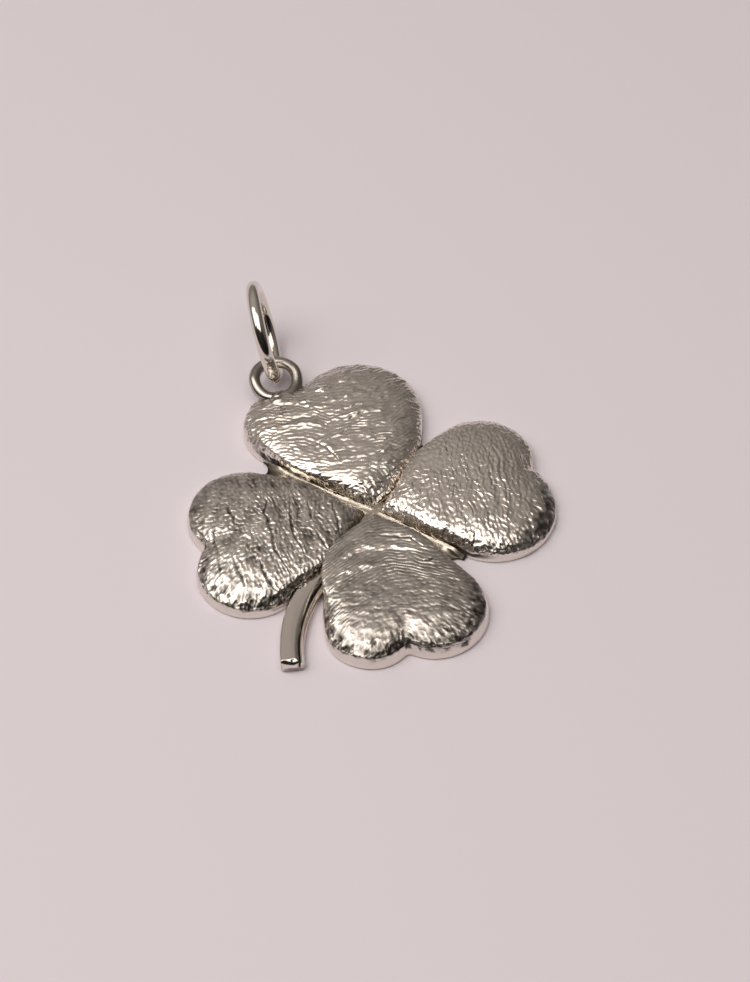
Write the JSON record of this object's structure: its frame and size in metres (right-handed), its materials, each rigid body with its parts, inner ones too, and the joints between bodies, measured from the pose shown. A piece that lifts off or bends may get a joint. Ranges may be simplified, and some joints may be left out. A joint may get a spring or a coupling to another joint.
{
  "type": "four leaf clover pendant",
  "caption": "Cast silver four leaf clover pendant with domed bark-textured heart leaves, curved stem, eye and jump ring.",
  "frame": {"origin": "middle of the clover, where the four leaf tips meet, on the flat back", "axes": "+Z out of the domed front, +Y along the leaf that carries the eye, +X to the right seen from the front"},
  "size_m": [0.0254, 0.0322, 0.0074],
  "materials": {
    "cast_silver": "cast sterling silver, bark textured on the leaves and polished between them",
    "ring_silver": "polished round silver wire"
  },
  "bodies": {
    "root": {"clover": "cast_silver", "jump_ring": "ring_silver"}
  },
  "joints": []
}
